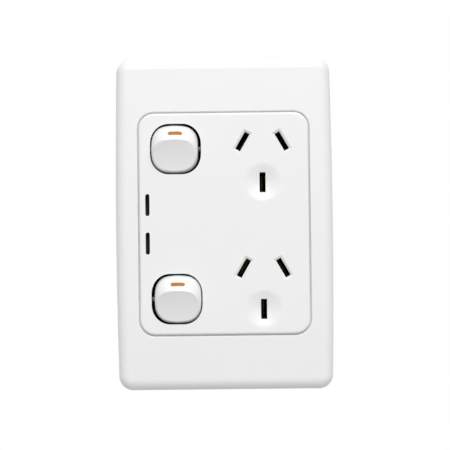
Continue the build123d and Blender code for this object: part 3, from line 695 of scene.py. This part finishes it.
def screw_blank(name, length, sizes):
    """A screw along +Y from its tip at the origin: a helical thread up to a head with a round rim."""
    segments = 28
    rows_per_turn = 8
    rim_steps = 6
    tip_share = 0.6
    depth_per_pitch = 0.55
    thread_depth = depth_per_pitch * sizes.pitch
    neck = length - sizes.head
    stations = []
    for row in range(int(neck / sizes.pitch * rows_per_turn) + 1):
        height = row * sizes.pitch / rows_per_turn
        taper = min(1.0, tip_share + (1 - tip_share) * height / sizes.point)
        stations.append((height, sizes.radius * taper, thread_depth * taper))
    stations.append((neck, sizes.radius - thread_depth, 0))
    stations.append((neck, sizes.head_radius, 0))
    for step in range(rim_steps + 1):
        turn = math.pi / 2 * step / rim_steps
        rise = length - sizes.head_round * (1 - math.sin(turn))
        inset = sizes.head_round * (1 - math.cos(turn))
        stations.append((rise, sizes.head_radius - inset, 0))
    points = []
    for height, reach, depth in stations:
        for step in range(segments):
            share = step / segments
            # 1 on the crest of the thread and 0 in its root
            ridge = 2 * abs((height / sizes.pitch - share) % 1 - 0.5)
            out = reach - depth * (1 - ridge)
            angle = 2 * math.pi * share
            points.append((out * math.cos(angle), height, out * math.sin(angle)))
    faces = [list(range(segments)), list(range(len(points) - segments, len(points)))]
    for ring in range(len(stations) - 1):
        for step in range(segments):
            here = ring * segments + step
            after = ring * segments + (step + 1) % segments
            faces.append((here, after, after + segments, here + segments))
    mesh = bpy.data.meshes.new(name)
    mesh.from_pydata(points, [], faces)
    tidy_normals(mesh)
    return mesh


def drive_cutter(top, sizes, arms):
    """A bar for each arm of a screw's drive, square to each other, standing half in the head."""
    mesh = bpy.data.meshes.new("drive_cutter")
    work = bmesh.new()
    for arm in range(arms):
        turn = sizes.drive_turn + math.pi / 2 * arm
        place = Matrix.Translation((0, top, 0)) @ Matrix.Rotation(turn, 4, "Y")
        size = Matrix.Diagonal((sizes.drive_length, 2 * sizes.drive_depth, sizes.drive_width, 1))
        bmesh.ops.create_cube(work, size=1.0, matrix=place @ size)
    work.to_mesh(mesh)
    work.free()
    return mesh


def cut_drive(blank, cutter_mesh):
    """The screw mesh with its drive cut, in place of the blank and the cutter."""
    cutter = bpy.data.objects.new("drive_cutter", cutter_mesh)
    screw = bpy.data.objects.new("drive_work", blank)
    for item in (cutter, screw):
        bpy.context.scene.collection.objects.link(item)
    modifier = screw.modifiers.new("Drive", "BOOLEAN")
    modifier.object = cutter
    modifier.use_self = True
    evaluated = screw.evaluated_get(bpy.context.evaluated_depsgraph_get())
    mesh = bpy.data.meshes.new_from_object(evaluated)
    name = blank.name
    for item in (cutter, screw):
        bpy.data.objects.remove(item)
    for item in (cutter_mesh, blank):
        bpy.data.meshes.remove(item)
    mesh.name = name
    tidy_normals(mesh)
    return mesh


def set_screws(context, node, name, sizes, places, arms):
    """Stand a set of like screws for a plain node, each turned a little further than the last.

    Their drive has one arm, which is a slot, or two, which are a cross.
    """
    low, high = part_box(node)
    length = high.y - low.y
    mesh = cut_drive(screw_blank(name, length, sizes), drive_cutter(length, sizes, arms))
    mesh.materials.append(screw_metal(context.scene.socket_finishes))
    for step, (place_name, (x, z)) in enumerate(places.items()):
        screw = bpy.data.objects.new(f"{name}_{place_name}", mesh)
        screw.location = (x, low.y, z)
        screw.rotation_euler.y = sizes.turn_step * step
        context.scene.collection.objects.link(screw)
        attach(screw, "base")
        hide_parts(node)


class SOCKET_OT_terminals(bpy.types.Operator):
    """Finish the terminal blocks and give each a slotted cheese-head screw"""

    bl_idname = "socket.terminals"
    bl_label = "Terminals"

    def execute(self, context):
        dress(block_metal(context.scene.socket_finishes), *(f"{pole}_terminal" for pole in POLES))
        sizes = context.scene.socket_terminal_screws
        middles = {pole: sum(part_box(f"{pole}_terminal"), Vector()) / 2 for pole in POLES}
        places = {pole: (middle.x, middle.z) for pole, middle in middles.items()}
        set_screws(context, "terminal_screws", "terminal_screw", sizes, places, arms=1)
        return {"FINISHED"}


class SOCKET_OT_housing_screws(bpy.types.Operator):
    """Make the four cross-recessed screws that hold the rear housing"""

    bl_idname = "socket.housing_screws"
    bl_label = "Housing screws"

    def execute(self, context):
        sizes = context.scene.socket_housing_screws
        low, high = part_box("housing_screws")
        columns = {"left": low.x + sizes.head_radius, "right": high.x - sizes.head_radius}
        rows = {"upper": high.z - sizes.head_radius, "lower": low.z + sizes.head_radius}
        places = {f"{row}_{side}": (x, z) for row, z in rows.items() for side, x in columns.items()}
        set_screws(context, "housing_screws", "housing_screw", sizes, places, arms=2)
        return {"FINISHED"}


# Stage


def background_rays(tree):
    """1 for the rays that show the background: from the camera, through glass or off a mirror."""
    path = add(tree, "ShaderNodeLightPath")
    straight = add(
        tree,
        "ShaderNodeMath",
        {"operation": "MAXIMUM"},
        {0: path.outputs["Is Camera Ray"], 1: path.outputs["Is Transmission Ray"]},
    )
    every = add(
        tree,
        "ShaderNodeMath",
        {"operation": "MAXIMUM"},
        {0: straight.outputs[0], 1: path.outputs["Is Glossy Ray"]},
    )
    return every.outputs[0]


def out_of_face(side, rise):
    """Direction out of the face, turned to the right and then up."""
    return Vector((math.sin(side) * math.cos(rise), -math.cos(side) * math.cos(rise), math.sin(rise)))


class SOCKET_OT_stage(bpy.types.Operator):
    """Lay the floor and set up the light and the camera"""

    bl_idname = "socket.stage"
    bl_label = "Stage"

    def execute(self, context):
        scene = context.scene
        settings = scene.socket_stage
        scene.view_settings.view_transform = "Standard"
        self.lay_floor(scene, settings)
        self.light_surround(scene, settings)
        self.hang_softbox(scene, settings)
        self.set_camera(scene, settings)
        return {"FINISHED"}

    def lay_floor(self, scene, settings):
        """A pale sheet well below the plate."""
        mesh = bpy.data.meshes.new("studio_floor")
        work = bmesh.new()
        bmesh.ops.create_grid(work, x_segments=1, y_segments=1, size=settings.floor_half)
        work.to_mesh(mesh)
        work.free()
        mesh.materials.append(self.floor_paper(settings))
        floor = bpy.data.objects.new("studio_floor", mesh)
        floor.location.z = cad_box[0].z - settings.floor_drop
        scene.collection.objects.link(floor)

    def floor_paper(self, settings):
        # Matt paper: pale, with the object's shadow near it, and run out to plain white around.
        # It gives back less light than it shows, so the undersides stay shaded.
        material, tree, shader, coordinates = start_material("Matt paper pale")
        shader.inputs["Roughness"].default_value = 0.9
        shown = background_rays(tree)
        tone = add(
            tree,
            "ShaderNodeMix",
            {
                "data_type": "RGBA",
                MIX_FROM: list(settings.paper_given),
                MIX_TO: list(settings.paper_shown),
            },
            {MIX_FACTOR: shown},
        )
        tree.links.new(tone.outputs[MIX_RESULT], shader.inputs["Base Color"])
        reach = add(tree, "ShaderNodeVectorMath", {"operation": "LENGTH"}, {0: coordinates})
        fade = add(
            tree,
            "ShaderNodeMapRange",
            {
                "interpolation_type": "SMOOTHSTEP",
                "From Min": settings.shadow_reach,
                "From Max": settings.white_reach,
            },
            {"Value": reach.outputs["Value"]},
        )
        plain = add(
            tree, "ShaderNodeMath", {"operation": "MULTIPLY"}, {0: fade.outputs["Result"], 1: shown}
        )
        white = add(tree, "ShaderNodeEmission", {"Color": WHITE})
        mixed = add(
            tree,
            "ShaderNodeMixShader",
            links={0: plain.outputs[0], 1: shader.outputs["BSDF"], 2: white.outputs["Emission"]},
        )
        output = tree.get_output_node("ALL")
        tree.links.new(mixed.outputs[0], output.inputs["Surface"])
        return material

    def light_surround(self, scene, settings):
        """Soft light from all around, less from the sides so that the edges show, seen as white."""
        world = bpy.data.worlds.new("Studio white")
        scene.world = world
        world.use_nodes = True
        tree = world.node_tree
        tree.nodes.clear()
        direction = add(tree, "ShaderNodeTexCoord").outputs["Generated"]
        parts = add(tree, "ShaderNodeSeparateXYZ", links={"Vector": direction})
        sideways = add(tree, "ShaderNodeMath", {"operation": "ABSOLUTE"}, {0: parts.outputs["X"]})
        strength = add(
            tree,
            "ShaderNodeMapRange",
            {
                "From Min": settings.side_start,
                "From Max": settings.side_end,
                "To Min": settings.fill,
                "To Max": settings.side_fill,
            },
            {"Value": sideways.outputs[0]},
        )
        lit = add(
            tree, "ShaderNodeBackground", {"Color": WHITE}, {"Strength": strength.outputs["Result"]}
        )
        seen = add(tree, "ShaderNodeBackground", {"Color": WHITE, "Strength": 1.0})
        mixed = add(
            tree,
            "ShaderNodeMixShader",
            links={0: background_rays(tree), 1: lit.outputs[0], 2: seen.outputs[0]},
        )
        add(tree, "ShaderNodeOutputWorld", links={"Surface": mixed.outputs[0]})

    def hang_softbox(self, scene, settings):
        """A large softbox above the camera, a little to the right."""
        lamp = bpy.data.lights.new("Softbox overhead", "AREA")
        lamp.shape = "RECTANGLE"
        lamp.size = settings.key_width
        lamp.size_y = settings.key_height
        lamp.energy = settings.key_power
        holder = bpy.data.objects.new("Softbox overhead", lamp)
        scene.collection.objects.link(holder)
        direction = out_of_face(settings.key_side, settings.key_rise)
        holder.location = direction * settings.key_distance
        holder.rotation_euler = direction.to_track_quat("Z", "Y").to_euler()

    def set_camera(self, scene, settings):
        """The photograph's camera: long lens, close to straight ahead, turned a little."""
        lens = bpy.data.cameras.new("Camera")
        lens.sensor_width = SENSOR_MM
        focal_pixels = settings.pixels_per_mm * settings.distance / MM
        lens.lens = focal_pixels / IMAGE_PIXELS * SENSOR_MM
        camera = bpy.data.objects.new("Camera", lens)
        scene.collection.objects.link(camera)
        aim = Vector((settings.aim_x, settings.aim_y, settings.aim_z))
        away = out_of_face(settings.yaw, settings.pitch) * settings.distance
        location = Vector((0, aim.y, 0)) + away
        back = (location - aim).normalized()
        right = Vector((0, 0, 1)).cross(back).normalized()
        level = Matrix((right, back.cross(right), back)).transposed()
        turned = level @ Matrix.Rotation(settings.roll, 3, "Z")
        camera.matrix_world = Matrix.Translation(location) @ turned.to_4x4()
        scene.camera = camera


# Add-on


OPERATORS = (
    SOCKET_OT_white_mouldings,
    SOCKET_OT_rockers,
    SOCKET_OT_rear_housing,
    SOCKET_OT_switch_works,
    SOCKET_OT_conductors,
    SOCKET_OT_springs,
    SOCKET_OT_terminals,
    SOCKET_OT_housing_screws,
    SOCKET_OT_stage,
)


class SOCKET_PT_build(bpy.types.Panel):
    """Buttons and settings for the socket"""

    bl_idname = "SOCKET_PT_build"
    bl_label = "Switched double socket"
    bl_space_type = "VIEW_3D"
    bl_region_type = "UI"
    bl_category = "Socket"

    def draw(self, context):
        layout = self.layout
        for operator in OPERATORS:
            layout.operator(operator.bl_idname)
        for setting in SETTINGS:
            box = layout.box()
            group = getattr(context.scene, setting)
            for name in group.bl_rna.properties.keys():
                if name not in ("rna_type", "name"):
                    box.prop(group, name)


CLASSES = (*SETTINGS.values(), *OPERATORS, SOCKET_PT_build)


def register():
    for cls in CLASSES:
        bpy.utils.register_class(cls)
    for setting, group in SETTINGS.items():
        setattr(bpy.types.Scene, setting, bpy.props.PointerProperty(type=group))


def unregister():
    for setting in SETTINGS:
        delattr(bpy.types.Scene, setting)
    for cls in reversed(CLASSES):
        bpy.utils.unregister_class(cls)


def main():
    register()
    bpy.ops.socket.white_mouldings()
    bpy.ops.socket.rockers()
    bpy.ops.socket.rear_housing()
    bpy.ops.socket.switch_works()
    bpy.ops.socket.conductors()
    bpy.ops.socket.springs()
    bpy.ops.socket.terminals()
    bpy.ops.socket.housing_screws()
    bpy.ops.socket.stage()


if __name__ == "__main__":
    main()
